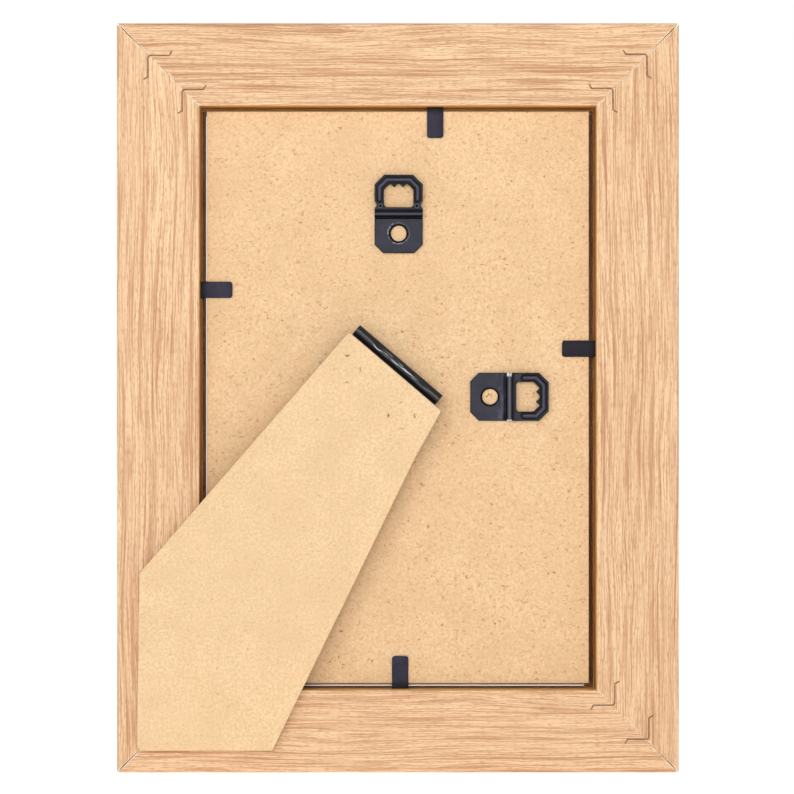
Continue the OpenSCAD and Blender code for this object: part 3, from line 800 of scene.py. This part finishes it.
def build_rails():
    """The rails keep their CAD shape. Each gets its own stretch of grain."""
    # The last number in each is the painted light on that rail's rebate
    grains = {"top_rail": ("X", 0.0, -6, 10), "bottom_rail": ("X", 40.0, -1, 45),
              "left_rail": ("Z", 80.0, -3, 8), "right_rail": ("Z", 120.0, -2, 8)}
    for node, (along, shift, tone, lit) in grains.items():
        dress(node, oak_foil("oak_" + node, along, shift, tone, lit))


def dress(node, material):
    """Gives a CAD node one material."""
    NODES[node].data.materials.clear()
    NODES[node].data.materials.append(material)


def build_strut(material):
    """The easel strut, with a small rounding on its sawn edges. Its hinge's claws are clinched flush."""
    rounding = 0.16 * MM
    outline = outlines("strut", high("strut").y)[:1]
    mesh = plate(outline, low("strut").y, high("strut").y, rounding)
    piece = new_piece("easel_strut", mesh, material)
    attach(piece, "strut")
    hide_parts("strut")


def bead_distance(s, aside, q):
    """In a material: how far a place on a hanger is outside (+) or inside (-) the bead's middle line."""
    corner = s.both(s.math("SUBTRACT", s.math("ADD", aside, q), BEAD_CORNER), math.sqrt(0.5))
    beside = s.math("MAXIMUM", s.math("SUBTRACT", aside, BEAD_SIDE), s.math("SUBTRACT", q, BEAD_TOP))
    off = s.math("MAXIMUM", beside, corner)
    short = s.math("MAXIMUM", s.math("SUBTRACT", BEAD_START, q), 0.0)
    return s.both(s.length(off, short), s.math("SIGN", off))


def bead_gap(p, q):
    """The distance of a point from the bead's middle line, whose ends are round."""
    off = max(abs(p) - BEAD_SIDE, q - BEAD_TOP, (abs(p) + q - BEAD_CORNER) * math.sqrt(0.5))
    return math.hypot(off, max(0.0, BEAD_START - q))


def dome(distance, half_width):
    """The height of a half-round ridge of height 1."""
    return math.sqrt(max(0.0, 1 - (distance / half_width) ** 2))


def hanger_height(p, q, notched):
    """How high the upper face of a pressed hanger is: its plate, its rib, its grooves and its bead."""
    rib, rib_half = NARROW_RIB if notched else WIDE_RIB
    foot_level = 0.8
    loop_rise = 0.7
    rise_start = 4.4
    rise_length = 1.4
    share = min(1.0, max(0.0, (q - rise_start) / rise_length))
    height = foot_level + loop_rise * share * share * (3 - 2 * share)
    if abs(q - rib) < rib_half:
        height = max(height, 1.0 + 0.9 * dome(q - rib, rib_half))
    groove_below = rib - rib_half - 0.35
    groove_above = rib + rib_half + 0.3
    height -= 0.4 * bell(q - groove_below, 0.3) + 0.3 * bell(q - groove_above, 0.26)
    height += 0.3 * dome(bead_gap(p, q), 0.62) - 0.08 * bell(bead_gap(p, q) - 0.8, 0.16)
    height -= 0.4 * bell(math.hypot(p, q) - HOLE_R, 0.3)
    if notched:
        dot = math.hypot(abs(p) - DOT_SIDE, q - DOT_UP)
        height += 0.12 * bell(dot - 0.55, 0.14) - 0.3 * bell(dot, 0.3)
    return height


def build_hanger(name, node, place, material, notched):
    """A hanger with the relief of its pressing: grooves beside the rib, a rolled hole and a round bead."""
    mesh = pressed(node, voxel=0.11, softening=3)
    to_local = place.inverted()
    out = Vector((0, 1, 0))
    loop_start = 4.1
    fade = 0.36
    for vert in mesh.vertices:
        p, q, h = to_local @ (vert.co * MM) / MM
        waist = 0.4 if q < loop_start else 1.1
        if h > waist:
            share = min(1.0, (h - waist) / fade)
            vert.co += out * (waist + share * (hanger_height(p, q, notched) - waist) - h)
    piece = new_piece(name, finished(mesh, KEPT_FACES), material)
    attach(piece, "frame")
    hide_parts(node)


def build_hinge(material):
    """Both leaves of the hinge. The rolled barrel is dented where it was crimped on the tongues."""
    to_local = ON_HINGE.inverted()
    outside_bore = 1.2
    for node, body in (("hinge_board_leaf", "frame"), ("hinge_strut_leaf", "strut")):
        mesh = pressed(node, voxel=0.13, softening=4)
        for vert in mesh.vertices:
            along, side, out = to_local @ (vert.co * MM) / MM
            dent = sum(share * bell(along - place, width) for place, width, share in DENTS)
            if body == "strut" and out > 0 and math.hypot(side, out) > outside_bore:
                vert.co.y -= DENT_DEPTH * dent * bell(side - 0.5, 0.8)
        piece = new_piece(node.replace("_leaf", "_leaf_pressed"), finished(mesh, KEPT_FACES), material)
        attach(piece, body)
        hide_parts(node)


def tab_profile(half_w, half_t, bevel):
    """The rounded section of a tab's strip, as points (across, through)."""
    corners = [(1, 1), (-1, 1), (-1, -1), (1, -1)]
    points = []
    for index, (across, through) in enumerate(corners):
        for step in range(3):
            angle = math.radians(90 * index + 45 * step)
            points.append((across * (half_w - bevel) + bevel * math.cos(angle),
                           through * (half_t - bevel) + bevel * math.sin(angle)))
    return points


def build_tab(side, shift, coat):
    """One strip of steel, fast in the rail at its root, that runs straight out past the wall."""
    root = side + "_tab_root"
    blade = side + "_tab_blade"
    to_tip = middle(blade) - middle(root)
    to_tip.y = 0
    to_tip.normalize()
    across = Vector((0, 1, 0)).cross(to_tip)
    size = high(blade) - low(blade)
    half_w = abs(size.dot(across)) / 2
    length = abs(size.dot(to_tip))
    half_t = size.y / 2
    wall = Vector(joint(side + "_tab_bend")["pos_m"])
    wall.y = middle(blade).y
    root_length = abs((high(root) - low(root)).dot(to_tip))
    corner = 0.7 * MM
    bend_step = 0.15 * MM
    bend_steps = 14
    tip_steps = 6
    stations = [-root_length, -root_length / 2]
    stations += [bend_step * i for i in range(bend_steps)]
    stations += [length / 2]
    stations += [length - corner * math.cos(math.radians(90 * i / tip_steps))
                 for i in range(tip_steps + 1)]
    mesh = bmesh.new()
    rings = []
    for station in stations:
        past = max(0.0, station - (length - corner)) / corner
        inset = corner * (1 - math.sqrt(max(0.0, 1 - past * past)))
        ring = [mesh.verts.new(wall + to_tip * station + across * a + Vector((0, t, 0)))
                for a, t in tab_profile(half_w - inset, half_t, 0.08 * MM)]
        rings.append(ring)
    count = len(rings[0])
    for first, second in zip(rings, rings[1:]):
        for i in range(count):
            mesh.faces.new((first[i], first[(i + 1) % count], second[(i + 1) % count], second[i]))
    mesh.faces.new(list(reversed(rings[0])))
    mesh.faces.new(rings[-1])
    bmesh.ops.recalc_face_normals(mesh, faces=mesh.faces)
    data = bpy.data.meshes.new(side + "_tab")
    mesh.to_mesh(data)
    mesh.free()
    shade_smooth(data)
    inward = Matrix((to_tip, Vector((0, 1, 0)), across)).transposed().to_4x4()
    inward.translation = wall
    piece = new_piece(side + "_tab", data, tab_steel(side + "_tab_steel", shift, inward, coat))
    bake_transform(piece)
    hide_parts(root, blade)


# ---- Scene ----

build_world()
build_lamp("key", (0.75, 1.25, 0.62), 0.45, 5.0)
build_lamp("front_key", (-0.75, -1.25, 0.62), 0.45, 5.0)
build_camera()
build_floor()
bpy.context.scene.view_settings.view_transform = "Standard"

build_rails()
for corner_name in ("top_left", "top_right", "bottom_left", "bottom_right"):
    dress("v_nails_" + corner_name, nail_steel())
dress("glass_pane", clear_glass())
dress("picture_sheet", print_paper())
dress("backing_board", fibreboard("board_mdf", 0.0, (243, 206, 161), 1.05, specks=1.0))
build_strut(fibreboard("strut_mdf", 200.0, (246, 213, 168), 1.05, specks=0.35, claws=True))
build_hanger("upright_hanger_pressed", "upright_hanger", UPRIGHT_PLACE,
             hanger_steel("upright_hanger_steel", 0.0, UPRIGHT_PLACE, notched=True), notched=True)
build_hanger("sideways_hanger_pressed", "sideways_hanger", SIDEWAYS_PLACE,
             hanger_steel("sideways_hanger_steel", 30.0, SIDEWAYS_PLACE, notched=False), notched=False)
build_hinge(hinge_steel("hinge_steel", 60.0))
for shift, (side_name, coat) in enumerate((("top", (46, 42, 60)), ("bottom", (46, 42, 60)),
                                           ("right", (48, 44, 62)), ("left", (26, 22, 34)))):
    build_tab(side_name, 90.0 + shift, coat)
